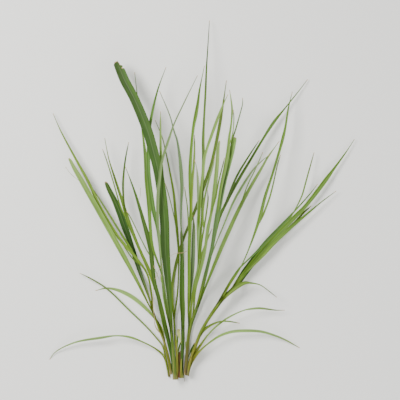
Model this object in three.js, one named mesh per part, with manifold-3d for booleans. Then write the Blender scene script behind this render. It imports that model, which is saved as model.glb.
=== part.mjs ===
// A small clump of lemongrass, dug up and laid on its side. Millimetres, +Z up.
// The stalk ends lie towards -Y and the leaf tips fan out towards +Y, over the surface z = 0.
// Ten tillers grow from one short woody crown. Each tiller is one solid: a stalk and its blades.

import * as THREE from 'three';
import { mergeVertices } from 'three/addons/utils/BufferGeometryUtils.js';
import Module from 'manifold-3d';

// Driving dimensions
const CROWN = { x: -46, y: -352 };      // where all stalks start, seen from above
const HEAP_HEIGHT = 24;                 // height of the bundle of stalks at the crown
const FAN_HEIGHT = 104;                 // height of the fan of leaves where it is highest
const RISE_LENGTH = 380;                // distance from the crown to that highest place
const FAN_REACH = 712;                  // distance from the crown to the furthest tip
const DROOP = 0.45;                     // share of its height that the fan has lost at the tips
const PART_LENGTH = 110;                // length over which a leaf parts from its stalk
const BLADE_THICK = 0.7;
const BLADE_STEP = 40;                  // length of one straight stretch of a blade
const BEND_STEP = 24;                   // the same on the short and arching blades
const THINNEST_TIP = 1.6;
const ROOT_FOLD = THREE.MathUtils.degToRad(34);   // V of a blade where it leaves the stalk
const OPEN_FOLD = THREE.MathUtils.degToRad(15);   // V of the open blade
const LEAN = THREE.MathUtils.degToRad(9);         // most that a blade is turned on its midrib
const TURN_PER_LEAF = 2.4;              // how that turn follows from a blade's place in its tiller
const TURN_PER_LEVEL = 10;              // and from the level of the tiller
const STALK_SIDES = 8;
const STALK_STEP = 24;
const NEST_GAP = 0.4;                   // room between the crown and the stalks beside it

const wasm = await Module();
wasm.setup();

// Layers of the fan

// Height of the whole fan above the surface, at a place seen from above.
function fanHeight(x, y) {
  const out = Math.hypot(x - CROWN.x, y - CROWN.y);
  if (out < RISE_LENGTH) {
    const rise = Math.sin((Math.PI / 2) * (out / RISE_LENGTH));
    return HEAP_HEIGHT + (FAN_HEIGHT - HEAP_HEIGHT) * rise;
  }
  const past = (out - RISE_LENGTH) / (FAN_REACH - RISE_LENGTH);
  return FAN_HEIGHT * (1 - DROOP * past * past);
}

// A leaf has a level: 0 lies on the surface and 1 is on top of the fan.
// Its route is a list of places [x, y, width], from the stalk to the tip, seen from above.
// "on" is the place in its tiller's list of the leaf that it parts from, where that isn't the stalk.
// "arch" lifts its middle, "drop" lowers its tip, and "bends" asks for shorter stretches.
function leaf(level, route, options = {}) {
  return { level, route, on: null, arch: 0, drop: 0, bends: false, ...options };
}

// The tillers, from left to right

const tillers = [
  {
    name: 'tiller_far_left',
    color: 0x93ab62,
    level: 0.12,
    stalk: [[-66, -355, 4.6], [-70, -334, 4.4], [-74, -314, 4.4], [-77, -290, 3.6]],
    leaves: [
      leaf(0, [[-74, -314, 2], [-83, -306, 1.8], [-95, -297, 2.2], [-118, -285, 3], [-144, -275, 4.4],
        [-172, -272, 3], [-202, -276, 5.2],
        [-256, -286, 3.4], [-294, -305, 2], [-306, -320, 1.6]], { arch: 20, bends: true }),
      leaf(0.1, [[-77, -294, 3.2], [-88, -281, 2.8], [-108, -258, 3], [-147, -220, 3.4], [-192, -177, 3.2],
        [-228, -155, 2.6], [-245, -147, 1.6]]),
    ],
  },
  {
    name: 'tiller_left',
    color: 0x9fb963,
    level: 0.34,
    stalk: [[-62, -350, 6], [-66, -324, 6], [-71, -302, 5.6], [-78, -278, 5.2], [-86, -258, 4.8],
      [-99, -220, 4.4]],
    leaves: [
      leaf(0, [[-76, -276, 2.8], [-82, -256, 3.2], [-96, -235, 4.8], [-130, -202, 8], [-152, -188, 8],
        [-172, -180, 6], [-192, -177, 3.2], [-214, -182, 1.6]], { bends: true }),
      leaf(0, [[-98, -224, 4], [-106, -196, 5], [-126, -140, 8], [-145, -82, 11], [-155, -54, 13.6],
        [-165, -26, 13], [-176, 0, 11], [-188, 24, 8.8], [-194, 38, 6]]),
      leaf(0.2, [[-120, -134, 2.6], [-140, -116, 2.4], [-166, -76, 2.2], [-175, -62, 1.6]], { on: 4 }),
      leaf(0.22, [[-134, -112, 5], [-164, -64, 4.4], [-196, -13, 3.6], [-224, 30, 1.6]], { on: 4 }),
      leaf(0.26, [[-99, -224, 4], [-101, -190, 4], [-110, -148, 4.2], [-132, -116, 5.4], [-168, -74, 6],
        [-208, -6, 5.8], [-227, 35, 6], [-254, 84, 4.6], [-283, 138, 2.8], [-299, 174, 1.6]],
        { drop: 14 }),
      leaf(0.3, [[-98, -226, 4], [-106, -211, 4.2], [-128, -166, 6.4], [-160, -106, 10], [-206, -24, 10.2],
        [-242, 40, 10], [-256, 64, 8], [-267, 86, 5]], { drop: 8 }),
    ],
  },
  {
    name: 'tiller_mid_left',
    color: 0x86a33f,
    level: 0.45,
    stalk: [[-56, -346, 6.4], [-60.5, -312, 7.4], [-65.5, -290, 7.6], [-70, -270, 7.4], [-78.6, -228, 6.4]],
    leaves: [
      leaf(0.33, [[-150, -34, 4], [-156, -6, 4], [-158, 30, 4.4], [-156, 60, 4], [-153, 84, 3.2],
        [-147, 116, 1.6]], { on: 1, drop: 10 }),
      leaf(0.36, [[-77, -234, 6], [-86, -200, 6.6], [-105, -144, 7.2], [-127, -94, 6], [-146, -46, 8],
        [-161, 2, 6.2], [-176, 48, 4.4], [-186, 80, 2.4], [-195, 124, 1.6]], { drop: 12 }),
      leaf(0.4, [[-152, -38, 3.4], [-162, -16, 3.2], [-178, 38, 2.8], [-191, 80, 2.4], [-199, 102, 1.6]],
        { on: 1 }),
      leaf(0.42, [[-101, -118, 2.6], [-120, -82, 2.2], [-144, -33, 2.2], [-151, -22, 1.6]], { on: 4 }),
      leaf(0.46, [[-62, -305, 7], [-67, -283, 9], [-74, -253, 9.6], [-80.5, -223, 9.4], [-87.5, -193, 8],
        [-95, -165, 8], [-100, -124, 9], [-102, -100, 10.6],
        [-108, -74, 10], [-116, -46, 8], [-130, 2, 5.4], [-138, 26, 3.6], [-153, 66, 1.6]], { drop: 6 }),
    ],
  },
  {
    name: 'tiller_broad_leaf',
    color: 0x5e8242,
    level: 0.78,
    stalk: [[-55, -360, 8], [-55.4, -336, 7.4], [-57, -310, 7], [-59.4, -284, 6.6], [-62, -256, 6]],
    leaves: [
      leaf(0.5, [[-62, -258, 4.4], [-73, -202, 4], [-80, -150, 4], [-98, -96, 5], [-103, -60, 6.4],
        [-106, -10, 8], [-110, 40, 10], [-112, 76, 8.6], [-117, 120, 4.4], [-122, 156, 3],
        [-130, 214, 2], [-135, 256, 1.6]], { drop: 20 }),
      leaf(0.56, [[-62, -258, 3.4], [-76, -200, 3], [-81, -136, 3.4], [-88, -60, 7], [-97, -20, 9],
        [-100, 0, 9], [-106, 50, 7.6], [-107, 90, 7], [-106, 130, 6.4], [-102, 162, 6],
        [-88, 222, 3.4], [-72, 266, 1.6]], { drop: 12 }),
      leaf(0.6, [[-72, -24, 4], [-77, 30, 5], [-82, 90, 5.6], [-83, 140, 4], [-83, 177, 2]],
        { on: 3, drop: 12 }),
      leaf(0.66, [[-60, -276, 6.4], [-64, -210, 8.6], [-68, -160, 13], [-73, -100, 17.6], [-75, -40, 18.8],
        [-80, 10, 19], [-88, 60, 19], [-99, 104, 20], [-111, 144, 20], [-136, 204, 19],
        [-156, 242, 19], [-170.5, 279, 18]], { drop: 14 }),
      leaf(0.78, [[-61, -262, 3.4], [-74, -180, 3], [-84, -100, 3.6], [-88, -40, 5.4], [-88, 8, 6.4],
        [-84, 48, 5.2], [-78, 84, 5], [-66, 122, 4.8], [-56, 151, 3.2], [-35, 196, 2.4], [-9, 249, 1.6]],
        { drop: 22 }),
    ],
  },
  {
    name: 'tiller_thin',
    color: 0x97b04a,
    level: 0.1,
    stalk: [[-50, -360, 5.4], [-50.4, -330, 5], [-51.4, -304, 4.6], [-54, -280, 4.4], [-56, -230, 4]],
    leaves: [
      leaf(0, [[-55.4, -244, 4], [-59, -200, 5], [-59, -170, 6], [-51, -124, 6], [-38, -80, 5.2],
        [-16, -26, 6], [2, 22, 6.8], [19, 74, 6], [31, 128, 6.4], [37, 160, 6], [41, 184, 4],
        [49, 240, 1.8]]),
      leaf(0.14, [[-56, -236, 4], [-50, -196, 3.8], [-47, -150, 2.8], [-47, -100, 4.2], [-51, -50, 6],
        [-54, -16, 5.6], [-57, 16, 4.6], [-62, 44, 4], [-73, 98, 2.4], [-80, 126, 2], [-94, 160, 1.6]],
        { drop: 6 }),
      leaf(0.18, [[-48, -88, 2.6], [-54, -44, 2.2], [-60, -16, 2], [-69, 18, 2], [-74, 34, 1.6]],
        { on: 1 }),
    ],
  },
  {
    name: 'tiller_centre',
    color: 0x7f9c4c,
    level: 0.45,
    stalk: [[-40, -357, 7.6], [-41.2, -330, 7.4], [-39.6, -308, 7.2], [-38.2, -284, 7.4],
      [-38.2, -256, 7.6]],
    leaves: [
      leaf(0.4, [[-38.2, -268, 7.6], [-38.6, -224, 10], [-40, -190, 10.6], [-40, -150, 9.4],
        [-40, -90, 6.8],
        [-41.4, -64, 5], [-42, -48, 2]]),
      leaf(0.46, [[-40, -134, 3.6], [-38, -100, 3.2], [-42, -50, 3.2], [-41, 0, 5.2], [-40, 24, 7.4],
        [-42, 60, 7.6], [-45, 90, 5.6], [-50, 120, 4], [-56, 138, 3.2], [-64, 168, 2.4],
        [-85, 218, 1.6]], { on: 0, drop: 16 }),
    ],
  },
  {
    name: 'tiller_right_centre',
    color: 0x9db556,
    level: 0.58,
    stalk: [[-34.4, -350, 4.8], [-32, -320, 4.4], [-30.6, -296, 4.2], [-28, -272, 4.2], [-25, -248, 4.2]],
    leaves: [
      leaf(0.5, [[-25.4, -252, 4.4], [-27, -220, 5], [-24, -188, 6], [-19, -136, 8], [-17, -80, 7.6],
        [-16.4, -56, 6], [-17.6, -30, 2]]),
      leaf(0.53, [[-22, -34, 4.6], [-20.5, 10, 5.2], [-19, 40, 5.2], [-16.4, 70, 4.6], [-15, 100, 3.6],
        [-15, 130, 2.2]], { on: 2, drop: 8 }),
      leaf(0.56, [[-25.4, -252, 4.4], [-27, -220, 4.6], [-26, -160, 6], [-25.5, -96, 7], [-23, -40, 6.8],
        [-22, -16, 6.6], [-24, 50, 7], [-22, 96, 6.2], [-17, 146, 6], [-12, 172, 7.4], [-8, 196, 5.6],
        [-4.6, 222, 3.6], [5, 269, 1.6]], { drop: 18 }),
      leaf(0.59, [[-25, -76, 3.4], [-27, -50, 3], [-29, -16, 2.6], [-35, 26, 1.6]], { on: 2 }),
      leaf(0.62, [[-25.4, -250, 4], [-21, -204, 4], [-15, -166, 4.8], [-8, -136, 5.2], [-7, -90, 5.8],
        [-7.4, -50, 7.6], [-6.5, -20, 6.6], [-8, 36, 5.4], [-11, 66, 2.4], [-15, 80, 1.6]], { drop: 8 }),
      leaf(0.65, [[-7.4, -130, 4.4], [-4, -90, 4.6], [0, -30, 4.6], [1.4, 40, 6], [3, 80, 6.4],
        [2.4, 120, 6], [4, 160, 4.6], [7, 214, 4.4], [9, 264, 3.4], [11, 296, 2.4], [15, 360, 1.6]],
        { on: 4, drop: 26 }),
      leaf(0.68, [[-7, -60, 5], [-4, 0, 6], [1, 46, 6], [5, 84, 6], [11, 106, 5.4], [18, 126, 6],
        [28, 154, 6.2], [37, 178, 4.6], [46, 199, 2.6], [52, 211, 1.6]], { on: 4, drop: 18 }),
    ],
  },
  {
    name: 'tiller_right_fan',
    color: 0x8fb06c,
    level: 0.84,
    stalk: [[-32, -346, 4.8], [-30, -320, 4.4], [-28.4, -300, 4.2], [-26, -276, 4.2], [-23, -252, 4.2],
      [-17, -232, 4.2], [-10, -208, 4.4]],
    leaves: [
      leaf(0.75, [[-24, -258, 4.4], [-21, -210, 4.4], [-15, -182, 5], [-10, -164, 5.6], [-4, -136, 6],
        [1, -108, 5.4], [8, -86, 4.2], [20, -57, 1.6]]),
      leaf(0.78, [[-3, -130, 3.6], [-2, -96, 3.6], [5, -50, 3.6], [9, -24, 3.6], [12, 2, 3], [11, 20, 1.8]],
        { on: 0 }),
      leaf(0.81, [[3, -62, 3.6], [2, -24, 4], [6.6, 10, 4], [14, 40, 4], [22, 68, 3.4], [26, 86, 1.8]],
        { on: 1 }),
      leaf(0.84, [[-18, -236, 4], [-13, -180, 4], [-5, -148, 5], [3, -116, 6], [7.6, -88, 6.2],
        [12, -56, 7], [18, -28, 6], [23, 4, 8], [27, 38, 8.4], [30, 70, 8], [32, 100, 6.4],
        [35, 120, 3.6]], { drop: 6 }),
      leaf(0.87, [[17, -34, 4], [22, -14, 3.6], [28, 8, 3.4], [33, 36, 3], [39, 60, 2.6], [45, 84, 1.8]],
        { on: 3 }),
      leaf(0.9, [[-11, -214, 4.6], [5, -154, 6], [19, -100, 7.2], [28, -44, 9], [33.4, -16, 10.2],
        [39, 16, 11.2], [45, 44, 11.8], [52.4, 72, 11.8], [60, 100, 11], [66, 127, 8]], { drop: 8 }),
      leaf(0.93, [[31, -28, 5], [36, 16, 6], [47, 70, 7], [52, 100, 7], [54.4, 126, 5.2], [58, 150, 3.8],
        [60, 180, 4], [58, 200, 2.8], [55, 220, 1.6]], { on: 5, drop: 14 }),
      leaf(0.96, [[53, 104, 3], [58, 120, 2.2], [61.6, 136, 2], [63.6, 160, 2], [62.6, 180, 1.6]],
        { on: 6, drop: 8 }),
      leaf(0.95, [[56, 78, 4], [59, 114, 3.4], [68, 144, 3], [77, 176, 2.2], [81, 192, 1.8],
        [81, 204, 1.6]], { on: 5, drop: 20 }),
    ],
  },
  {
    name: 'tiller_right_mid',
    color: 0x8aa446,
    level: 0.1,
    stalk: [[-31, -346, 5], [-29.4, -318, 4.8], [-28.4, -300, 4.6], [-26, -276, 4.4], [-21.5, -253, 4.4],
      [-15, -233, 4.6], [-8, -214, 5]],
    leaves: [
      leaf(0.2, [[-10, -220, 5], [6, -156, 6.6], [19, -100, 7], [34, -38, 6.2], [49, -5, 6], [73, 40, 6],
        [98, 82, 5.2], [122, 122, 4.8], [144, 156, 6.2], [168, 186, 2.8], [196, 221, 2.2],
        [212, 242, 1.6]], { drop: 10 }),
      leaf(0.24, [[42, -22, 4.4], [54, 10, 4.8], [70, 48, 4.6], [92, 85, 3.6], [115, 120, 1.8]],
        { on: 0 }),
      leaf(0.28, [[3.6, -166, 3], [11.4, -134, 2.4], [27, -90, 2.2], [44, -49, 3], [61, -8, 4.4],
        [76, 20, 5], [95, 50, 4], [108, 67, 3], [135, 91, 1.6]], { on: 0 }),
      leaf(0.32, [[-10, -220, 4], [5.6, -178, 4], [23, -134, 6.6], [43, -86, 8.4], [73, -20, 8],
        [96, 24, 6.8], [120, 65, 5.2], [132, 86, 4], [155, 118, 1.6]], { drop: 10 }),
      leaf(0.36, [[73, -24, 3], [86, 16, 2.4], [95, 38, 2.4], [105, 58, 2.2], [122, 96, 1.6]],
        { on: 3 }),
    ],
  },
  {
    name: 'tiller_right',
    color: 0x97b35a,
    level: 0.38,
    stalk: [[-30, -352, 6.6], [-21, -314, 5.8], [-12, -290, 6], [-3, -266, 6.4], [10.5, -242, 7],
      [27, -217, 8.4], [37, -203, 8.4]],
    leaves: [
      leaf(0, [[-24, -328, 2.6], [-14, -313, 2.4], [-3, -301, 2.6], [16, -285, 3.8], [36, -272, 5],
        [60, -264, 6],
        [92, -262, 6.4], [120, -264, 5.2], [144, -271, 4.4], [168, -281, 3.2], [196, -297, 1.6]],
        { arch: 22, bends: true }),
      leaf(0.12, [[-20, -311, 2.6], [-9, -299, 2.4], [1, -285, 2.8], [13, -269, 3.2], [29, -253, 3.6],
        [52, -236, 3.6], [84, -221, 2.6],
        [100, -218, 4], [116, -217, 4.4], [150, -221, 2.2], [166, -221, 1.6]], { arch: 16, bends: true }),
      leaf(0.24, [[-3, -266, 2.4], [10, -255, 1.8], [34, -244, 2.6], [52, -243, 3], [76, -247, 1.6]],
        { arch: 6, bends: true }),
      leaf(0.02, [[33, -208, 7], [47, -192, 9], [62, -179, 10.5], [71, -167, 12], [86, -145, 14],
        [108, -116, 14],
        [132, -86, 12], [150, -72, 6]]),
      leaf(0.06, [[140, -88, 5], [162, -68, 5], [176, -55, 5], [192, -39, 4.6], [204, -25, 4],
        [219, -12, 2.4]], { on: 3 }),
      leaf(0.1, [[33, -208, 5], [46, -184, 5.6], [60, -159, 5.2], [76, -136, 4], [88, -124, 3],
        [108, -105, 4], [128, -83, 6], [164, -46, 5.8], [188, -20, 3.2], [218, 14, 2.4], [232, 32, 1.6]]),
      leaf(0.14, [[33, -208, 6], [46, -194, 6.4], [61, -178, 7], [82, -151, 8], [108, -118, 10],
        [150, -71, 10],
        [188, -32, 9], [206, -14, 8], [237, 25, 9], [251, 44, 8.4], [265, 63, 5.2], [291, 99, 2.6],
        [306, 122, 1.6]], { drop: 6 }),
      leaf(0.18, [[80, -152, 5], [96, -136, 6], [120, -112, 8], [148, -83, 7.2], [182, -52, 6],
        [214, -25, 4], [242, -2, 2.2], [269, 18, 1.6]], { on: 6, drop: 8 }),
      leaf(0.22, [[164, -56, 3], [184, -24, 2.4], [200, 8, 3.2], [206, 28, 3.4], [212, 50, 3.2],
        [225, 96, 1.6]], { on: 6, drop: 10 }),
      leaf(0.28, [[33, -208, 6], [50, -191, 7], [70, -174, 9], [86, -166, 7], [96, -166, 4],
        [116, -170, 2.2], [136, -184, 1.8], [150, -195, 1.6]], { bends: true }),
      leaf(0.46, [[33, -208, 4.6], [49, -180, 3.6], [76, -137, 2.4], [92, -102, 2.8], [107, -62, 5.2],
        [117, -30, 7], [126, 6, 6.2], [141, 52, 5], [156, 102, 5.6], [162, 124, 6.4], [167, 146, 4.8],
        [173, 184, 3.6], [181, 217, 1.6]], { drop: 16 }),
      leaf(0.5, [[116, -46, 4.6], [127, -18, 4.2], [135, 4, 3.8], [141, 26, 3.2], [151, 70, 2.4],
        [157, 90, 1.8]], { on: 10, drop: 10 }),
    ],
  },
];

// Solids along a curve

// Turns rings of points into one closed solid. Every ring has the same number of points.
// crossed(side) says which sides are split along the other diagonal.
function solidFromRings(rings, capFaces, crossed = () => false) {
  const sides = rings[0].length;
  const positions = rings.flat().flatMap((point) => [point.x, point.y, point.z]);
  const faces = [];
  for (let ring = 0; ring + 1 < rings.length; ring += 1) {
    for (let side = 0; side < sides; side += 1) {
      const next = (side + 1) % sides;
      const a = ring * sides + side;
      const b = ring * sides + next;
      const c = b + sides;
      const d = a + sides;
      if (crossed(side)) {
        faces.push(a, b, d, b, c, d);
      } else {
        faces.push(a, b, c, a, c, d);
      }
    }
  }
  const last = (rings.length - 1) * sides;
  for (const [a, b, c] of capFaces) {
    faces.push(a, c, b, last + a, last + b, last + c);
  }
  const geometry = new THREE.BufferGeometry();
  geometry.setAttribute('position', new THREE.Float32BufferAttribute(positions, 3));
  geometry.setIndex(faces);
  return toManifold(geometry);
}

function toManifold(geometry) {
  const merged = mergeVertices(geometry, 1e-4);
  return new wasm.Manifold(new wasm.Mesh({
    numProp: 3,
    vertProperties: new Float32Array(merged.getAttribute('position').array),
    triVerts: new Uint32Array(merged.getIndex().array),
  }));
}

function toGeometry(solid) {
  const mesh = solid.getMesh();
  const geometry = new THREE.BufferGeometry();
  geometry.setAttribute('position', new THREE.BufferAttribute(mesh.vertProperties, 3));
  geometry.setIndex(new THREE.BufferAttribute(mesh.triVerts, 1));
  geometry.computeVertexNormals();
  return geometry;
}

// Evenly spaced places [x, y, width] on the smooth curve through a route.
function alongRoute(route, step) {
  const curve = new THREE.CatmullRomCurve3(route.map(([x, y, width]) => new THREE.Vector3(x, y, width)));
  const steps = Math.max(3, Math.round(curve.getLength() / step));
  return curve.getSpacedPoints(steps);
}

// Unit vectors across and above a line of points, at one of them.
function frameAt(points, index) {
  const before = points[Math.max(index - 1, 0)];
  const after = points[Math.min(index + 1, points.length - 1)];
  const along = after.clone().sub(before).normalize();
  const across = new THREE.Vector3().crossVectors(along, new THREE.Vector3(0, 0, 1)).normalize();
  const above = new THREE.Vector3().crossVectors(across, along);
  return { across, above };
}

function place(centre, frame, sideways, upwards) {
  return centre.clone().addScaledVector(frame.across, sideways).addScaledVector(frame.above, upwards);
}

// A stalk: a round stem, flat side down, at its level in the heap
const FLAT_TURN = Math.PI / STALK_SIDES;
const STALK_CAP = Array.from({ length: STALK_SIDES - 2 }, (_, side) => [0, side + 1, side + 2]);

function stalkSolid(tiller, extra = 0) {
  const places = alongRoute(tiller.stalk, STALK_STEP);
  const centres = places.map(({ x, y, z: width }) => {
    const resting = (width / 2) * Math.cos(FLAT_TURN);
    return new THREE.Vector3(x, y, Math.max(resting, tiller.level * fanHeight(x, y)));
  });
  const rings = centres.map((centre, index) => {
    const frame = frameAt(centres, index);
    const radius = places[index].z / 2 + extra;
    return Array.from({ length: STALK_SIDES }, (_, side) => {
      const turn = FLAT_TURN + (2 * Math.PI * side) / STALK_SIDES;
      return place(centre, frame, radius * Math.sin(turn), radius * Math.cos(turn));
    });
  });
  return solidFromRings(rings, STALK_CAP);
}

// A blade: a thin V section that leaves its stalk steeply folded and opens out

// Points 0, 1, 2 are the top of the left edge, midrib and right edge, and 3, 4, 5 are under them.
const BLADE_CAP = [[0, 1, 4], [0, 4, 5], [1, 2, 3], [1, 3, 4]];
const isUnderside = (side) => side === 3 || side === 4;

// Height of a line of points where it passes nearest to x, y.
function heightNear(points, x, y) {
  let nearest = { distance: Infinity, height: 0 };
  for (let index = 0; index + 1 < points.length; index += 1) {
    const start = points[index];
    const stretch = points[index + 1].clone().sub(start);
    const length = Math.hypot(stretch.x, stretch.y);
    const along = ((x - start.x) * stretch.x + (y - start.y) * stretch.y) / length ** 2;
    const spot = start.clone().addScaledVector(stretch, THREE.MathUtils.clamp(along, 0, 1));
    const distance = Math.hypot(x - spot.x, y - spot.y);
    if (distance < nearest.distance) {
      nearest = { distance, height: spot.z };
    }
  }
  return nearest.height;
}

// The level that a blade starts at: its stalk's, or that of the leaf it parts from.
function rootLevelOf(blade, tiller) {
  if (blade.on === null) {
    return tiller.level;
  }
  const [x, y] = blade.route[0];
  const { centres } = bladeLine(tiller.leaves[blade.on], tiller);
  return (heightNear(centres, x, y) - BLADE_THICK / 2) / fanHeight(x, y);
}

// The midrib of a blade, its widths, and how far it has parted from where it grows.
function bladeLine(blade, tiller) {
  const [rootX, rootY] = blade.route[0];
  const rootOut = Math.hypot(rootX - CROWN.x, rootY - CROWN.y);
  const rootLevel = rootLevelOf(blade, tiller);
  const places = alongRoute(blade.route, blade.bends ? BEND_STEP : BLADE_STEP);
  const parted = places.map(({ x, y }) => {
    const out = Math.hypot(x - CROWN.x, y - CROWN.y);
    return THREE.MathUtils.smoothstep(out, rootOut, rootOut + PART_LENGTH);
  });
  const centres = places.map(({ x, y }, index) => {
    const level = THREE.MathUtils.lerp(rootLevel, blade.level, parted[index]);
    const share = index / (places.length - 1);
    const lift = blade.arch * Math.sin(Math.PI * share) - blade.drop * share ** 3;
    return new THREE.Vector3(x, y, BLADE_THICK / 2 + Math.max(level * fanHeight(x, y) + lift, 0));
  });
  return { centres, parted, widths: places.map((spot) => Math.max(spot.z, THINNEST_TIP)) };
}

function bladeSolid(blade, tiller, turn) {
  const { centres, parted, widths } = bladeLine(blade, tiller);
  const openFold = blade.level === 0 ? 0 : OPEN_FOLD;
  const rings = centres.map((centre, index) => {
    const frame = frameAt(centres, index);
    const half = widths[index] / 2;
    const edge = half * Math.tan(THREE.MathUtils.lerp(ROOT_FOLD, openFold, parted[index]));
    const tilt = blade.level === 0 ? 0 : half * Math.tan(turn) * parted[index];
    const thick = BLADE_THICK / 2;
    return [
      place(centre, frame, -half, edge - tilt + thick),
      place(centre, frame, 0, thick),
      place(centre, frame, half, edge + tilt + thick),
      place(centre, frame, half, edge + tilt - thick),
      place(centre, frame, 0, -thick),
      place(centre, frame, -half, edge - tilt - thick),
    ];
  });
  return solidFromRings(rings, BLADE_CAP, isUnderside);
}

// Each tiller's stalk and blades, grown together
function tillerSolid(tiller) {
  let solid = stalkSolid(tiller);
  tiller.leaves.forEach((blade, index) => {
    const turn = LEAN * Math.sin(TURN_PER_LEAF * index + TURN_PER_LEVEL * tiller.level);
    solid = solid.add(bladeSolid(blade, tiller, turn));
  });
  return solid;
}

// The crown: a short woody spindle that the stalk bases lie round
const CROWN_PROFILE = [[0, -26], [3.4, -25], [5.2, -14], [5.4, 0], [4.2, 14], [2, 25], [0, 27]];
const CROWN_CENTRE = { x: -45, y: -331, z: 9 };
const CROWN_SIDES = 12;
const CROWN_STRETCH = [1.1, 1, 1.2];
const CROWN_COLOR = 0x6b4a2e;

function crownSolid() {
  const profile = CROWN_PROFILE.map(([radius, along]) => new THREE.Vector2(radius, along));
  const spindle = new THREE.LatheGeometry(profile, CROWN_SIDES);
  spindle.scale(...CROWN_STRETCH);
  spindle.translate(CROWN_CENTRE.x, CROWN_CENTRE.y, CROWN_CENTRE.z);
  spindle.deleteAttribute('normal');
  spindle.deleteAttribute('uv');
  return tillers.reduce((solid, tiller) => solid.subtract(stalkSolid(tiller, NEST_GAP)), toManifold(spindle));
}

const ROUGHNESS = 0.55;

function namedMesh(name, color, solid) {
  const material = new THREE.MeshStandardMaterial({ color, roughness: ROUGHNESS, metalness: 0 });
  const mesh = new THREE.Mesh(toGeometry(solid), material);
  mesh.name = name;
  return mesh;
}

const clump = new THREE.Group();
clump.add(namedMesh('crown', CROWN_COLOR, crownSolid()));
for (const tiller of tillers) {
  clump.add(namedMesh(tiller.name, tiller.color, tillerSolid(tiller)));
}

export default clump;
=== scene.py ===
# A clump of lemongrass lying on a pale floor, seen from straight above.
# The leaf routes and levels are the ones of the part's source, in millimetres.

import math
import random

import bpy
import numpy as np
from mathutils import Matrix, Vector


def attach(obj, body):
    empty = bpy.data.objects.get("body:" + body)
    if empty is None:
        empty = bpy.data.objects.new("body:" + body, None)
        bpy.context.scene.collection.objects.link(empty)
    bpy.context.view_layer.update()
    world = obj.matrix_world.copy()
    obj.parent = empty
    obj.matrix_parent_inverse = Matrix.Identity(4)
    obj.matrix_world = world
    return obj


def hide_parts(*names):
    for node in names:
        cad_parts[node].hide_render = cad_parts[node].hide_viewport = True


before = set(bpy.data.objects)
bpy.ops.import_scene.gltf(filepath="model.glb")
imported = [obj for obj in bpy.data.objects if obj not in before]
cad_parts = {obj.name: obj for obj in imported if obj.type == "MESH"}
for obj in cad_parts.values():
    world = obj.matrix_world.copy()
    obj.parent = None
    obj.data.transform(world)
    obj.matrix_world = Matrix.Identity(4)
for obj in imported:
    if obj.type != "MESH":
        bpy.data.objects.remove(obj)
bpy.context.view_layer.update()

MM = 0.001

# Driving dimensions, in millimetres. The first ones are those of the part's source.

CROWN = (-46.0, -352.0)
HEAP_HEIGHT = 24.0       # of the fan at the crown
FAN_HEIGHT = 104.0       # and at its highest
RISE_LENGTH = 380.0      # from the crown to there
FAN_REACH = 712.0        # from the crown to the farthest tip
DROOP = 0.45             # share of its height that the fan has lost there
PART_LENGTH = 110.0      # over which a blade parts from where it grows
HALF_THICK = 0.35        # height of a midrib's middle above the surface it lies on
ROOT_FOLD = math.radians(34)
OPEN_FOLD = math.radians(15)
FLAT_FOLD = math.radians(4)  # of the blades that lie on the surface
LEAN = math.radians(9)
CURVE_POINTS = 40        # worked out between two places of a route
LEAST_STEPS = 4          # of the shortest blade

# The finer form of the blades

BLADE_THICK = 0.44       # between midrib and margin
MARGIN_THICK = 0.16
MIDRIB_THICK = 0.3       # how far a midrib stands out under its blade
MIDRIB_GROOVE = 0.1      # how far it is sunk in the top
MIDRIB_HALF = 0.55
SLENDER_WIDTH = 5.0      # blades narrower than this are thinner too
WRAPPED_THICK = 0.7      # least share of the thickness in a sheath
BLADE_STEP = 3.0
BLADE_ACROSS = 6         # faces from the midrib to a margin
FOLD_CURVE = 1.25        # 1 folds a blade to a sharp V, more rounds it
RIPPLE = 0.02            # of a blade's width
RIPPLE_RUN = (3.0, 4.6)  # least and greatest
PHASES = (0, 6)          # least and greatest start of a wave
ROOT_SHARE = 0.2         # of its width, where a blade parts from another
ROOT_TAPER = 20.0        # over which it widens from there
WRAP_LENGTH = 58.0       # over which a blade stops hugging its stalk
JOINT_LENGTH = 16.0      # over which the bend where it leaves is eased
JOINT_ROUNDS = 8
WRAP_ANGLE = math.radians(104)
SHEATH_ANGLE = math.radians(166)
SHEATH_CLOSING = (2.0, 24.0)  # below the joint, over which a sheath closes round its stalk
END_LENGTH = 26.0        # of the finer stretch before a cut end
END_STEP = 0.8
CUT_LENGTH = 9.0         # over which the raggedness of a cut end fades
CUT_TEETH = (0.1, 1.0)   # least and greatest share of its depth
CUT_MIDDLE = 0.35        # share of its depth at the midrib
BITE_DEEPEST = 0.9       # share of the half width
TIP_WIDTH = 1.2
TIP_TAPER = 0.1          # share of a blade's length
TURN_PER_LEAF = 2.4      # how the lean of the blades follows from their order and level
TURN_PER_LEVEL = 10.0
LOWEST = 0.02

# The finer form of the stalks and the crown

STALK_STEP = 2.5
STALK_SIDES = 28
STALK_FLATTEN = 0.94
LEAST_CORE = 0.3         # share of a stalk's width inside its sheaths
BASE_BULGE = 0.07        # share by which the cut end is thicker
BULGE_LENGTH = 12.0
TOP_NARROWING = 0.6      # share by which a stalk's hidden top is thinner
TOP_TAPER = 14.0
RIB_DEPTH = 0.012        # share of the radius
RIB_COUNT = 14
SHEATH_STEP = 0.26       # from one sheath to the next one out
SHEATH_INSET = 0.2       # share of a step by which each lies deeper
LEAST_SHEATH = 3         # rings of the shortest sheath
SLIT_SWING = math.radians(40)
SLIT_PER_SHEATH = 2.1    # how the side of a sheath's slit follows from its order and level
SLIT_PER_LEVEL = 9.0
SLIT_RUN = 36.0          # over which the slit turns to its side
CUT_LAYERS = ((0.1, 0.9), (0.44, 0.7), (0.5, -0.2), (0.74, 0.0), (0.8, 0.9), (0.95, 0.4))
SHARP_EDGE = math.radians(50)
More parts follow.
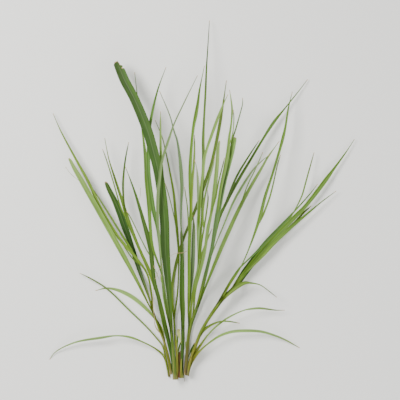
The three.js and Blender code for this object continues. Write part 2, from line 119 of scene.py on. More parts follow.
CROWN_PROFILE = ((0, -26), (3.4, -25), (5.2, -14), (5.4, 0), (4.2, 14), (2, 25), (0.2, 27))
CROWN_CENTRE = (-45.0, -331.0, 9.0)
CROWN_STRETCH = (1.1, 1.2)  # across and upwards
CROWN_RINGS = 64
CROWN_GIRTH = 5.0        # radius that its fibres are measured round
KNOBS = ((0.08, 5, 3.0), (0.05, 11, -1.6))  # depth, number round the crown, and run along it
SCARS = (0.07, 3, 2.6, 0.4)  # the same of the leaf scars round it, and how wavy they are

# How the colours and the dryness lie on a leaf

LIGHTNESS = (0.2126, 0.7152, 0.0722)  # what red, green and blue add to how light a colour is
DEEPER_CHROMA = 1.11     # these four undo the picture's tone curve, which pales colours
DEEPER_POWER = 1.453
DEEPER_GAIN = 0.542
LEAST_PART = 0.06        # of the weakest of red, green and blue to the strongest
BASE_TINT = (2.0, 16.0)  # from a stalk's cut end, where its base colour passes
HIGH_TINT = (40.0, 100.0)  # and where its upper colour comes
LOW_TINT = (30.0, 140.0)  # from the joint, where a leaf's low colour passes
SHEATH_TINT = 90.0       # from the joint, over which a stalk's colour passes
TIP_TINT = (0.7, 0.98)   # shares of the length, where the tip's colour comes
MARGIN_TINT = (0.5, 0.95)  # shares of the half width, where the margin's colour comes
MARGIN_SHOWN = 0.75
PAINTED_LIT_HALF = (0.1, 0.55)   # the same on the lit side: a painted highlight, the margin's paler colour over the half of the fold that faces the light, partly the leaf's own two tones
COLLAR_SHOWN = 0.3       # the pale ring at the joint
COLLAR_PLACE = 2.0
COLLAR_LENGTH = 1.6
TONE_SPREAD = 0.1        # between leaves
TONE_WAVE = 0.06         # along one leaf
TONE_RUN = 38.0
BITE_RIM = (0.45, 0.8)   # shares of the half width, where a bite is dry
CUT_RIM = (0.5, 3.0)     # from a cut end, where it is dry
DRY_TIP = (4.0, 11.0)    # least and greatest length
DRY_TIP_FULL = 0.4       # share of that length
WITHERED_MARGIN = (0, 0.5)  # least and greatest, at the edge of a sheath
WITHERED_FACE = (0, 0.4)  # and all over it
WITHERED_EDGE = (0.8, 1.0)  # shares of the half width
WITHERED_RUN = (10.0, 60.0)  # below the joint
BROAD_WIDTH = (3.5, 9.0)  # where a midrib begins to show and shows in full
LEAF_APART = 900.0       # keeps the mottling of one leaf from another's
CUT_FACE = "#d3cd9c"
SHEATH_RIM = "#d2d8a4"
CROWN_COLOUR = "#6b4a2e"

# How the surfaces are drawn

VEIN_SHOWN = 2.2         # real veins are 0.4 mm apart, too fine to show, so these are coarser
VEIN_RUN = 70.0          # length over which a vein's tone changes
BLOTCH = 26.0            # length of the cloudy patches
BLOTCH_WIDTH = 7.0
NOISE = (0.3, 0.7)       # what most of a noise lies between
VEIN_TONE = (0.76, 1.2)
BLOTCH_TONE = (0.9, 1.08)
MIDRIB_SHOWN = 0.08
MIDRIB_EDGE = (0.5, 1.6)  # shares of its half width between which it fades
UNDERSIDE = "#b4c494"
UNDERSIDE_SHOWN = 0.3
DRY_BORDER = (0.82, 1.25)
GLOSS_SPREAD = (-0.06, 0.08)  # of the roughness, along the veins
LEAF_IOR = 1.45
LEAF_SPECULAR = 0.25
SHEEN_ROUGHNESS = 0.5
RELIEF = 0.5

# Floor, light and camera

PHOTO_WIDTH = 800.0      # millimetres across the picture
PHOTO_MIDDLE = -4.0      # where the middle of the picture lies, across
MIDDLE_HEIGHT = 45.0     # height of the plane that the picture's width is measured in
CAMERA_HEIGHT = 12000.0
SENSOR_WIDTH = 36.0
FLOOR_HALF = 2.5         # metres
FLOOR_COLOUR = "#e6e5e0"
FLOOR_ROUGHNESS = 0.9
ROOM_COLOUR = "#f2f4f6"
ROOM_LIGHT = 0.58
# Lamps: place and diameter in metres, power in watts
LAMPS = {
    "key": ((-1.5, 0.9, 2.2), 1.3, 125.0),
    "fill": ((1.6, -0.6, 2.2), 2.2, 26.0),
    "rim": ((0.2, -1.8, 1.6), 1.6, 21.0),
}


# Colours

def linear(hex_colour):
    """An sRGB hex colour as linear red, green, blue and alpha."""
    parts = [int(hex_colour[i:i + 2], 16) / 255 for i in (1, 3, 5)]
    return tuple(c / 12.92 if c <= 0.04045 else ((c + 0.055) / 1.055) ** 2.4 for c in parts) + (1.0,)


def deepened(hex_colour):
    """The surface colour, linear and with alpha, that the picture's tone curve pales to this one."""
    seen = np.array(linear(hex_colour)[:3])
    grey = seen @ LIGHTNESS
    deep = DEEPER_GAIN * np.maximum(grey + DEEPER_CHROMA * (seen - grey), 0) ** DEEPER_POWER
    return np.append(np.maximum(deep, LEAST_PART * deep.max()), 1.0)


def look_colours(look):
    """The surface colours of a look, in the order that they are listed in."""
    if look in BLEACHED:
        return [np.array(linear(c)) for c in BLEACHED[look]]
    return [deepened(c) for c in LOOKS[look]]


# What a leaf looks like in the picture: its colour low down, along the blade, at the margins and
# at the tip
LOOKS = {
    "broad": ("#789254", "#6b8a4a", "#6e8e42", "#607a24"),
    "blunt": ("#66844a", "#7e9c64", "#9aba78", "#bee08e"),
    "tipped": ("#94b25e", "#a4c074", "#b8ce90", "#b4cc88"),
    "pale": ("#9dbb5a", "#a9c48a", "#bed498", "#c2cfa4"),
    "arch": ("#a2be66", "#b6d090", "#cce49c", "#a2b274"),
    "bright": ("#a3b94a", "#8ca63c", "#a2b84e", "#94a844"),
    "lime": ("#a6be54", "#a2be5c", "#aec668", "#98b04c"),
    "deep": ("#769230", "#80a024", "#90b038", "#86a430"),
    "olive": ("#7e9636", "#6c8a1c", "#84a030", "#789630"),
    "green": ("#74903c", "#6f9440", "#84a44c", "#86703c"),
    "dark": ("#76944a", "#577c38", "#6f9048", "#688438"),
    "grey": ("#8aa466", "#94ab80", "#a6b992", "#98a878"),
    "fresh": ("#9ab652", "#8fb04c", "#a4c068", "#8aa850"),
    "soft": ("#92b060", "#86aa62", "#a0bc7c", "#7c9c4c"),
    "whip": ("#9ab660", "#8aa658", "#a0b870", "#5c7c34"),
    "crossing": ("#7f9a58", "#a2b884", "#b0c494", "#a8b890"),
    "straw": ("#b8b870", "#c2c868", "#d2da6e", "#aab858"),
    "thin": ("#9ab860", "#98b068", "#a8bc7c", "#8a9a50"),
}

# The surface colours of bleached sheath, in the same order
BLEACHED = {
    "cream": ("#b4bc68", "#ccd290", "#c4ca80", "#a89c64"),
}

# The sheaths of each stalk in the picture: their colour at the cut base, low down and where the
# leaves part. On some stalks the dark base and low colours are partly painted shade.
STALKS = {
    "tiller_far_left": ("#a09e6a", "#a6b456", "#a4b458"),
    "tiller_left": ("#b8ae84", "#a0a656", "#98a852"),
    # Its dark base colour is partly painted shade, of the shadow between the stalks, and partly its own
    # colour
    "tiller_mid_left": ("#7c8c44", "#68882f", "#728e38"),
    "tiller_broad_leaf": ("#b2b67a", "#92aa56", "#86a04e"),
    "tiller_thin": ("#bab282", "#a4b658", "#9cb44e"),
    "tiller_centre": ("#a2a65e", "#6e8c38", "#728f3c"),
    # The dark brownish base and low colours of these three are partly painted shade, of the shadow between
    # the stalks near the crown, and partly their own brown
    "tiller_right_centre": ("#8a8254", "#989c58", "#98b04c"),
    "tiller_right_fan": ("#766636", "#84843e", "#98ae4e"),
    "tiller_right_mid": ("#6a5630", "#7a7634", "#86a244"),
    "tiller_right": ("#bcb686", "#bcbe64", "#a2b65e"),
}

# What is missing from the edges of the broadest leaf: distance from its end, side, depth, length
BROAD_BITES = ((0.0, 1, 8.0, 12.0), (10.0, 1, 3.6, 2.4), (18.0, 1, 3.4, 1.8), (0.0, -1, 3.0, 3.0))


def leaf(look, level, route, **options):
    """A blade: the places [x, y, width] that it passes, from its stalk to its tip, seen from above.

    on is the place in its tiller's list of the leaf that it parts from. arch lifts its middle and drop
    lowers its tip. cut is the depth of a ragged cut end, dried the length of a dry tip, bites what is
    missing from its edges, lit the side painted in the margin's paler colour, a painted highlight on the
    half of the fold that faces the light and partly the leaf's own two tones, loose says that it hugs no
    stalk, and dry is how withered it is all over, from 0 to 1."""
    blade = dict(look=look, level=level, route=route, on=None, arch=0, drop=0, cut=0, dried=None,
                 bites=(), lit=0, loose=False, dry=0.0)
    blade.update(options)
    return blade


def shoot(level, stalk, *leaves):
    """A tiller: its level, the places [x, y, width] of its stalk from the cut end up, and its leaves."""
    return dict(level=level, stalk=stalk, leaves=leaves)


TILLERS = {
    "tiller_far_left": shoot(
        0.12, [[-66, -355, 4.6], [-70, -334, 4.4], [-74, -314, 4.4], [-77, -290, 3.6]],
        leaf("arch", 0, [[-74, -314, 2], [-83, -306, 1.8], [-95, -297, 2.2], [-118, -285, 3],
             [-144, -275, 4.4], [-172, -272, 3], [-202, -276, 5.2], [-256, -286, 3.4], [-294, -305, 2],
             [-306, -320, 1.6]], arch=20),
        leaf("thin", 0.1, [[-77, -294, 3.2], [-88, -281, 2.8], [-108, -258, 3], [-147, -220, 3.4],
             [-192, -177, 3.2], [-228, -155, 2.6], [-245, -147, 1.6]]),
    ),
    "tiller_left": shoot(
        0.34, [[-62, -350, 6], [-66, -324, 6], [-71, -302, 5.6], [-78, -278, 5.2], [-86, -258, 4.8],
               [-99, -220, 4.4]],
        leaf("arch", 0, [[-76, -276, 2.8], [-82, -256, 3.2], [-96, -235, 4.8], [-130, -202, 8],
             [-152, -188, 8], [-172, -180, 6], [-192, -177, 3.2], [-214, -182, 1.6]]),
        leaf("dark", 0, [[-98, -224, 4], [-106, -196, 5], [-126, -140, 8], [-145, -82, 11],
             [-155, -54, 13.6], [-165, -26, 13], [-176, 0, 11], [-188, 24, 8.8], [-194, 38, 6]], cut=5),
        leaf("thin", 0.2, [[-120, -134, 2.6], [-140, -116, 2.4], [-166, -76, 2.2], [-175, -62, 1.6]], on=4),
        leaf("thin", 0.22, [[-134, -112, 5], [-164, -64, 4.4], [-196, -13, 3.6], [-224, 30, 1.6]], on=4),
        leaf("lime", 0.26, [[-99, -224, 4], [-101, -190, 4], [-110, -148, 4.2], [-132, -116, 5.4],
             [-168, -74, 6], [-208, -6, 5.8], [-227, 35, 6], [-254, 84, 4.6], [-283, 138, 2.8],
             [-299, 174, 1.6]], drop=14),
        leaf("tipped", 0.3, [[-98, -226, 4], [-106, -211, 4.2], [-128, -166, 6.4], [-160, -106, 10],
             [-206, -24, 10.2], [-242, 40, 10], [-256, 64, 8], [-267, 86, 5]], drop=8, cut=7),
    ),
    "tiller_mid_left": shoot(
        0.45, [[-56, -346, 6.4], [-60.5, -312, 7.4], [-65.5, -290, 7.6], [-70, -270, 7.4],
               [-78.6, -228, 6.4]],
        leaf("olive", 0.33, [[-150, -34, 4], [-156, -6, 4], [-158, 30, 4.4], [-156, 60, 4], [-153, 84, 3.2],
             [-147, 116, 1.6]], on=1, drop=10),
        leaf("bright", 0.36, [[-77, -234, 6], [-86, -200, 6.6], [-105, -144, 7.2], [-127, -94, 6],
             [-146, -46, 8], [-161, 2, 6.2], [-176, 48, 4.4], [-186, 80, 2.4], [-195, 124, 1.6]], drop=12),
        leaf("thin", 0.4, [[-152, -38, 3.4], [-162, -16, 3.2], [-178, 38, 2.8], [-191, 80, 2.4],
             [-199, 102, 1.6]], on=1),
        leaf("thin", 0.42, [[-101, -118, 2.6], [-120, -82, 2.2], [-144, -33, 2.2], [-151, -22, 1.6]], on=4),
        leaf("olive", 0.46, [[-62, -305, 7], [-67, -283, 9], [-74, -253, 9.6], [-80.5, -223, 9.4],
             [-87.5, -193, 8], [-95, -165, 8], [-100, -124, 9], [-102, -100, 10.6], [-108, -74, 10],
             [-116, -46, 8], [-130, 2, 5.4], [-138, 26, 3.6], [-153, 66, 1.6]], drop=6),
    ),
    "tiller_broad_leaf": shoot(
        0.78, [[-55, -360, 8], [-55.4, -336, 7.4], [-57, -310, 7], [-59.4, -284, 6.6], [-62, -256, 6]],
        leaf("fresh", 0.5, [[-62, -258, 4.4], [-73, -202, 4], [-80, -150, 4], [-98, -96, 5],
             [-103, -60, 6.4], [-106, -10, 8], [-110, 40, 10], [-112, 76, 8.6], [-117, 120, 4.4],
             [-122, 156, 3], [-130, 214, 2], [-135, 256, 1.6]], drop=20),
        leaf("soft", 0.56, [[-62, -258, 3.4], [-76, -200, 3], [-81, -136, 3.4], [-88, -60, 7], [-97, -20, 9],
             [-100, 0, 9], [-106, 50, 7.6], [-107, 90, 7], [-106, 130, 6.4], [-102, 162, 6], [-88, 222, 3.4],
             [-72, 266, 1.6]], drop=12),
        leaf("tipped", 0.6, [[-72, -24, 4], [-77, 30, 5], [-82, 90, 5.6], [-83, 140, 4], [-83, 177, 2]],
             on=3, drop=12),
        # lit=1 paints the broad leaf's right half in the margin's paler colour: a painted highlight, partly
        # its own two tones
        leaf("broad", 0.66, [[-60, -276, 6.4], [-64, -210, 8.6], [-68, -160, 13], [-73, -100, 17.6],
             [-75, -40, 18.8], [-80, 10, 19], [-88, 60, 19], [-99, 104, 20], [-111, 144, 20],
             [-136, 204, 19], [-156, 242, 19], [-170.5, 279, 18]], drop=14, cut=3, lit=1, bites=BROAD_BITES),
        leaf("crossing", 0.78, [[-61, -262, 3.4], [-74, -180, 3], [-84, -100, 3.6], [-88, -40, 5.4],
             [-88, 8, 6.4], [-84, 48, 5.2], [-78, 84, 5], [-66, 122, 4.8], [-56, 151, 3.2], [-35, 196, 2.4],
             [-9, 249, 1.6]], drop=22),
    ),
    "tiller_thin": shoot(
        0.1, [[-50, -360, 5.4], [-50.4, -330, 5], [-51.4, -304, 4.6], [-54, -280, 4.4], [-56, -230, 4]],
        leaf("bright", 0, [[-55.4, -244, 4], [-59, -200, 5], [-59, -170, 6], [-51, -124, 6], [-38, -80, 5.2],
             [-16, -26, 6], [2, 22, 6.8], [19, 74, 6], [31, 128, 6.4], [37, 160, 6], [41, 184, 4],
             [49, 240, 1.8]]),
        leaf("lime", 0.14, [[-56, -236, 4], [-50, -196, 3.8], [-47, -150, 2.8], [-47, -100, 4.2],
             [-51, -50, 6], [-54, -16, 5.6], [-57, 16, 4.6], [-62, 44, 4], [-73, 98, 2.4], [-80, 126, 2],
             [-94, 160, 1.6]], drop=6),
        leaf("thin", 0.18, [[-48, -88, 2.6], [-54, -44, 2.2], [-60, -16, 2], [-69, 18, 2], [-74, 34, 1.6]],
             on=1),
    ),
    "tiller_centre": shoot(
        0.45, [[-40, -357, 7.6], [-41.2, -330, 7.4], [-39.6, -308, 7.2], [-38.2, -284, 7.4],
               [-38.2, -256, 7.6]],
        leaf("green", 0.4, [[-38.2, -268, 7.6], [-38.6, -224, 10], [-40, -190, 10.6], [-40, -150, 9.4],
             [-40, -90, 6.8], [-41.4, -64, 5], [-42, -48, 2]], dried=16),
        leaf("grey", 0.46, [[-40, -134, 3.6], [-38, -100, 3.2], [-42, -50, 3.2], [-41, 0, 5.2],
             [-40, 24, 7.4], [-42, 60, 7.6], [-45, 90, 5.6], [-50, 120, 4], [-56, 138, 3.2], [-64, 168, 2.4],
             [-85, 218, 1.6]], on=0, drop=16),
    ),
    "tiller_right_centre": shoot(
        0.58, [[-34.4, -350, 4.8], [-32, -320, 4.4], [-30.6, -296, 4.2], [-28, -272, 4.2],
               [-25, -248, 4.2]],
        leaf("grey", 0.5, [[-25.4, -252, 4.4], [-27, -220, 5], [-24, -188, 6], [-19, -136, 8],
             [-17, -80, 7.6], [-16.4, -56, 6], [-17.6, -30, 2]]),
        leaf("lime", 0.53, [[-22, -34, 4.6], [-20.5, 10, 5.2], [-19, 40, 5.2], [-16.4, 70, 4.6],
             [-15, 100, 3.6], [-15, 130, 2.2]], on=2, drop=8),
        leaf("fresh", 0.56, [[-25.4, -252, 4.4], [-27, -220, 4.6], [-26, -160, 6], [-25.5, -96, 7],
             [-23, -40, 6.8], [-22, -16, 6.6], [-24, 50, 7], [-22, 96, 6.2], [-17, 146, 6], [-12, 172, 7.4],
             [-8, 196, 5.6], [-4.6, 222, 3.6], [5, 269, 1.6]], drop=18),
        leaf("thin", 0.59, [[-25, -76, 3.4], [-27, -50, 3], [-29, -16, 2.6], [-35, 26, 1.6]], on=2),
        leaf("pale", 0.62, [[-25.4, -250, 4], [-21, -204, 4], [-15, -166, 4.8], [-8, -136, 5.2],
             [-7, -90, 5.8], [-7.4, -50, 7.6], [-6.5, -20, 6.6], [-8, 36, 5.4], [-11, 66, 2.4],
             [-15, 80, 1.6]], drop=8),
        leaf("whip", 0.65, [[-7.4, -130, 4.4], [-4, -90, 4.6], [0, -30, 4.6], [1.4, 40, 6], [3, 80, 6.4],
             [2.4, 120, 6], [4, 160, 4.6], [7, 214, 4.4], [9, 264, 3.4], [11, 296, 2.4], [15, 360, 1.6]],
             on=4, drop=26),
        leaf("tipped", 0.68, [[-7, -60, 5], [-4, 0, 6], [1, 46, 6], [5, 84, 6], [11, 106, 5.4], [18, 126, 6],
             [28, 154, 6.2], [37, 178, 4.6], [46, 199, 2.6], [52, 211, 1.6]], on=4, drop=18),
    ),
    "tiller_right_fan": shoot(
        0.84, [[-32, -346, 4.8], [-30, -320, 4.4], [-28.4, -300, 4.2], [-26, -276, 4.2],
               [-23, -252, 4.2], [-17, -232, 4.2], [-10, -208, 4.4]],
        leaf("lime", 0.75, [[-24, -258, 4.4], [-21, -210, 4.4], [-15, -182, 5], [-10, -164, 5.6],
             [-4, -136, 6], [1, -108, 5.4], [8, -86, 4.2], [20, -57, 1.6]]),
        leaf("thin", 0.78, [[-3, -130, 3.6], [-2, -96, 3.6], [5, -50, 3.6], [9, -24, 3.6], [12, 2, 3],
             [11, 20, 1.8]], on=0),
        leaf("pale", 0.81, [[3, -62, 3.6], [2, -24, 4], [6.6, 10, 4], [14, 40, 4], [22, 68, 3.4],
             [26, 86, 1.8]], on=1),
        leaf("tipped", 0.84, [[-18, -236, 4], [-13, -180, 4], [-5, -148, 5], [3, -116, 6], [7.6, -88, 6.2],
             [12, -56, 7], [18, -28, 6], [23, 4, 8], [27, 38, 8.4], [30, 70, 8], [32, 100, 6.4],
             [35, 120, 3.6]], drop=6, cut=5),
        leaf("thin", 0.87, [[17, -34, 4], [22, -14, 3.6], [28, 8, 3.4], [33, 36, 3], [39, 60, 2.6],
             [45, 84, 1.8]], on=3),
        leaf("blunt", 0.9, [[-11, -214, 4.6], [5, -154, 6], [19, -100, 7.2], [28, -44, 9], [33.4, -16, 10.2],
             [39, 16, 11.2], [45, 44, 11.8], [52.4, 72, 11.8], [60, 100, 11], [66, 127, 8]], drop=8, cut=6),
        leaf("tipped", 0.93, [[31, -28, 5], [36, 16, 6], [47, 70, 7], [52, 100, 7], [54.4, 126, 5.2],
             [58, 150, 3.8], [60, 180, 4], [58, 200, 2.8], [55, 220, 1.6]], on=5, drop=14),
        leaf("thin", 0.96, [[53, 104, 3], [58, 120, 2.2], [61.6, 136, 2], [63.6, 160, 2], [62.6, 180, 1.6]],
             on=6, drop=8),
        leaf("soft", 0.95, [[56, 78, 4], [59, 114, 3.4], [68, 144, 3], [77, 176, 2.2], [81, 192, 1.8],
             [81, 204, 1.6]], on=5, drop=20),
    ),
    "tiller_right_mid": shoot(
        0.1, [[-31, -346, 5], [-29.4, -318, 4.8], [-28.4, -300, 4.6], [-26, -276, 4.4],
              [-21.5, -253, 4.4], [-15, -233, 4.6], [-8, -214, 5]],
        leaf("deep", 0.2, [[-10, -220, 5], [6, -156, 6.6], [19, -100, 7], [34, -38, 6.2], [49, -5, 6],
             [73, 40, 6], [98, 82, 5.2], [122, 122, 4.8], [144, 156, 6.2], [168, 186, 2.8], [196, 221, 2.2],
             [212, 242, 1.6]], drop=10),
        leaf("deep", 0.24, [[42, -22, 4.4], [54, 10, 4.8], [70, 48, 4.6], [92, 85, 3.6], [115, 120, 1.8]],
             on=0),
        leaf("pale", 0.28, [[3.6, -166, 3], [11.4, -134, 2.4], [27, -90, 2.2], [44, -49, 3], [61, -8, 4.4],
             [76, 20, 5], [95, 50, 4], [108, 67, 3], [135, 91, 1.6]], on=0),
        leaf("tipped", 0.32, [[-10, -220, 4], [5.6, -178, 4], [23, -134, 6.6], [43, -86, 8.4], [73, -20, 8],
             [96, 24, 6.8], [120, 65, 5.2], [132, 86, 4], [155, 118, 1.6]], drop=10),
        leaf("pale", 0.36, [[73, -24, 3], [86, 16, 2.4], [95, 38, 2.4], [105, 58, 2.2], [122, 96, 1.6]],
             on=3),
    ),
    "tiller_right": shoot(
        0.38, [[-30, -352, 6.6], [-21, -314, 5.8], [-12, -290, 6], [-3, -266, 6.4], [10.5, -242, 7],
               [27, -217, 8.4], [37, -203, 8.4]],
        leaf("arch", 0, [[-24, -328, 2.6], [-14, -313, 2.4], [-3, -301, 2.6], [16, -285, 3.8], [36, -272, 5],
             [60, -264, 6], [92, -262, 6.4], [120, -264, 5.2], [144, -271, 4.4], [168, -281, 3.2],
             [196, -297, 1.6]], arch=22),
        leaf("arch", 0.12, [[-20, -311, 2.6], [-9, -299, 2.4], [1, -285, 2.8], [13, -269, 3.2],
             [29, -253, 3.6], [52, -236, 3.6], [84, -221, 2.6], [100, -218, 4], [116, -217, 4.4],
             [150, -221, 2.2], [166, -221, 1.6]], arch=16),
        leaf("thin", 0.24, [[-3, -266, 2.4], [10, -255, 1.8], [34, -244, 2.6], [52, -243, 3],
             [76, -247, 1.6]], arch=6),
        leaf("dark", 0.02, [[33, -208, 7], [47, -192, 9], [62, -179, 10.5], [71, -167, 12], [86, -145, 14],
             [108, -116, 14], [132, -86, 12], [150, -72, 6]]),
        leaf("lime", 0.06, [[140, -88, 5], [162, -68, 5], [176, -55, 5], [192, -39, 4.6], [204, -25, 4],
             [219, -12, 2.4]], on=3),
        leaf("soft", 0.1, [[33, -208, 5], [46, -184, 5.6], [60, -159, 5.2], [76, -136, 4], [88, -124, 3],
             [108, -105, 4], [128, -83, 6], [164, -46, 5.8], [188, -20, 3.2], [218, 14, 2.4],
             [232, 32, 1.6]]),
        leaf("fresh", 0.14, [[33, -208, 6], [46, -194, 6.4], [61, -178, 7], [82, -151, 8], [108, -118, 10],
             [150, -71, 10], [188, -32, 9], [206, -14, 8], [237, 25, 9], [251, 44, 8.4], [265, 63, 5.2],
             [291, 99, 2.6], [306, 122, 1.6]], drop=6),
        leaf("fresh", 0.18, [[80, -152, 5], [96, -136, 6], [120, -112, 8], [148, -83, 7.2], [182, -52, 6],
             [214, -25, 4], [242, -2, 2.2], [269, 18, 1.6]], on=6, drop=8),
        leaf("thin", 0.22, [[164, -56, 3], [184, -24, 2.4], [200, 8, 3.2], [206, 28, 3.4], [212, 50, 3.2],
             [225, 96, 1.6]], on=6, drop=10),
        leaf("thin", 0.28, [[33, -208, 6], [50, -191, 7], [70, -174, 9], [86, -166, 7], [96, -166, 4],
             [116, -170, 2.2], [136, -184, 1.8], [150, -195, 1.6]]),
        leaf("fresh", 0.46, [[33, -208, 4.6], [49, -180, 3.6], [76, -137, 2.4], [92, -102, 2.8],
             [107, -62, 5.2], [117, -30, 7], [126, 6, 6.2], [141, 52, 5], [156, 102, 5.6], [162, 124, 6.4],
             [167, 146, 4.8], [173, 184, 3.6], [181, 217, 1.6]], drop=16),
        leaf("thin", 0.5, [[116, -46, 4.6], [127, -18, 4.2], [135, 4, 3.8], [141, 26, 3.2], [151, 70, 2.4],
             [157, 90, 1.8]], on=10, drop=10),
    ),
}

# Small dry and torn bits: threads, a torn sheath flake, stubs and rootlets, level by level
BITS = {
    "dry_threads": ("dry_fibre", [
        leaf("thin", 0.37, [[-80, -272, 2.4], [-88, -262, 3], [-94, -251, 1.8], [-96, -232, 0.9],
             [-98, -206, 0.9], [-97, -174, 0.6]], loose=True, dry=0.75),
        leaf("thin", 0.8, [[-76, -126, 1], [-86, -140, 1], [-90, -150, 1], [-94, -158, 0.8]], loose=True,
             dry=0.8),
        leaf("thin", 0.73, [[-66, -114, 0.9], [-54, -107, 0.9], [-37, -105, 0.8], [-30, -102, 0.6]],
             loose=True, dry=0.8),
        leaf("thin", 0.33, [[-246, 38, 0.9], [-258, 48, 0.9], [-266, 56, 0.7], [-273, 66, 0.5]], loose=True,
             dry=0.5),
        leaf("thin", 0.5, [[-128, -6, 0.9], [-124, 6, 0.9], [-123, 24, 0.6]], loose=True, dry=0.4),
    ]),
    "withered_sheaths": ("dry_fibre", [
        leaf("thin", 0.5, [[-45.4, -357, 2.8], [-45, -338, 3.4], [-44.4, -318, 2.8], [-43.6, -302, 1]],
             loose=True, dry=0.9),
        leaf("thin", 0.42, [[-47, -352, 2.4], [-46.8, -330, 2.6], [-46.6, -306, 1]], loose=True, dry=0.9),
        leaf("thin", 0.5, [[-32, -344, 3], [-31, -334, 3.2], [-30, -322, 1]], loose=True, dry=0.85),
        leaf("thin", 0.36, [[-35, -338, 1.2], [-35, -352, 1.1], [-35, -364, 0.7]], loose=True, dry=0.5),
        leaf("thin", 0.2, [[-58, -352, 2.6], [-60, -340, 2.8], [-62, -328, 0.8]], loose=True, dry=0.8),
    ]),
    "torn_sheath": ("yellow_green_leaf", [
        leaf("straw", 0.66, [[-49.8, -359, 3.2], [-49.6, -336, 3.8], [-50.6, -304, 3.6], [-53, -270, 2]],
             loose=True, cut=1),
        leaf("straw", 0.62, [[-42.2, -357, 3], [-42.4, -338, 3.2], [-41.6, -318, 1.2]], loose=True, cut=2),
        leaf("cream", 0.5, [[-41, -288, 1.2], [-43.6, -279, 4], [-45.6, -271, 6], [-47, -264, 7],
             [-46.4, -258, 6]], loose=True, cut=3, dried=0.5),
        leaf("cream", 0.54, [[-51, -262, 3], [-46.4, -260, 4], [-42, -258.6, 1.4]], loose=True, dried=0.5),
        leaf("fresh", 0.4, [[-47, -316, 3], [-47, -300, 3.4], [-42, -284, 2]], loose=True, cut=1),
        leaf("fresh", 0.2, [[-50.4, -302, 3.4], [-49, -280, 3], [-48, -270, 1.6]], loose=True, cut=2),
        leaf("pale", 0.84, [[-79, -172, 3.2], [-81, -160, 3.8], [-82, -148, 2.4]], loose=True, cut=2),
        leaf("thin", 0.7, [[-84, -164, 1.2], [-90, -148, 1.2], [-97, -131, 0.8]], loose=True),
        leaf("dark", 0.3, [[-28, -318, 3.4], [-22, -302, 3.8], [-15, -286, 1.8]], loose=True),
        leaf("fresh", 0.56, [[-34, -298, 3.4], [-33, -290, 3.4], [-32.6, -283, 1.6]], loose=True, cut=1),
    ]),
}


# Lines and layers

def mix(first, second, share):
    return first + (second - first) * share


def smoothstep(value, low, high):
    share = np.clip((value - low) / (high - low), 0, 1)
    return share * share * (3 - 2 * share)


def from_crown(x, y):
    return np.hypot(x - CROWN[0], y - CROWN[1])


def fan_height(x, y):
    """Height of the whole fan above the floor, at a place seen from above."""
    out = from_crown(x, y)
    rise = HEAP_HEIGHT + (FAN_HEIGHT - HEAP_HEIGHT) * np.sin(np.pi / 2 * out / RISE_LENGTH)
    past = (out - RISE_LENGTH) / (FAN_REACH - RISE_LENGTH)
    return np.where(out < RISE_LENGTH, rise, FAN_HEIGHT * (1 - DROOP * past * past))


def along_route(route, step, fine_end=0):
    """Evenly spaced places [x, y, width] on the smooth curve through a route, and how far along they are.

    The curve is a centripetal Catmull-Rom curve, as in the part's source."""
    knots = np.array(route, float)
    knots = np.vstack([2 * knots[0] - knots[1], knots, 2 * knots[-1] - knots[-2]])
    t = np.linspace(0, 1, CURVE_POINTS, endpoint=False)[:, None]
    fine = []
    for p0, p1, p2, p3 in zip(knots, knots[1:], knots[2:], knots[3:]):
        d0, d1, d2 = (np.linalg.norm(b - a) ** 0.5 for a, b in ((p0, p1), (p1, p2), (p2, p3)))
        leave = ((p1 - p0) / d0 - (p2 - p0) / (d0 + d1) + (p2 - p1) / d1) * d1
        arrive = ((p2 - p1) / d1 - (p3 - p1) / (d1 + d2) + (p3 - p2) / d2) * d1
        fine.append(p1 + leave * t + (3 * p2 - 3 * p1 - 2 * leave - arrive) * t ** 2
                    + (2 * p1 - 2 * p2 + leave + arrive) * t ** 3)
    fine = np.vstack(fine + [knots[-2:-1]])
    travelled = np.concatenate([[0], np.cumsum(np.linalg.norm(np.diff(fine, axis=0), axis=1))])
    wanted = np.linspace(0, travelled[-1], max(LEAST_STEPS, round(travelled[-1] / step)) + 1)
    if fine_end:
        before_end = np.arange(0, min(fine_end, travelled[-1]), END_STEP)
        wanted = np.union1d(wanted, travelled[-1] - before_end)
    return np.column_stack([np.interp(wanted, travelled, fine[:, k]) for k in range(3)]), wanted


def frames(centres):
    """Unit vectors along, across and above a line of points."""
    along = np.gradient(centres, axis=0)
    along /= np.linalg.norm(along, axis=1, keepdims=True)
    across = np.cross(along, (0, 0, 1))
    across /= np.linalg.norm(across, axis=1, keepdims=True)
    return along, across, np.cross(across, along)


def blade_line(blade, tiller):
    """The middle of a blade, how far it has parted from where it grows, its widths and lengths."""
    root_x, root_y, _ = blade["route"][0]
    places, travelled = along_route(blade["route"], BLADE_STEP, END_LENGTH if blade["cut"] else 0)
    x, y, width = places.T
    if blade["on"] is not None:
        carrier = blade_line(tiller["leaves"][blade["on"]], tiller)[0]
        nearest = np.argmin(np.hypot(carrier[:, 0] - root_x, carrier[:, 1] - root_y))
        root_level = (carrier[nearest, 2] - HALF_THICK) / fan_height(root_x, root_y)
    elif blade["loose"]:
        root_level = blade["level"]
    else:
        root_level = tiller["level"]
    root_out = from_crown(root_x, root_y)
    parted = smoothstep(from_crown(x, y), root_out, root_out + PART_LENGTH)
    level = mix(root_level, blade["level"], parted)
    share = travelled / travelled[-1]
    lift = blade["arch"] * np.sin(np.pi * share) - blade["drop"] * share ** 3
    z = HALF_THICK + np.maximum(level * fan_height(x, y) + lift, 0)
    return np.column_stack([x, y, z]), parted, width, travelled


def hugging(tiller):
    """How many leaf sheaths lie round a stalk."""
    return sum(blade["on"] is None for blade in tiller["leaves"])


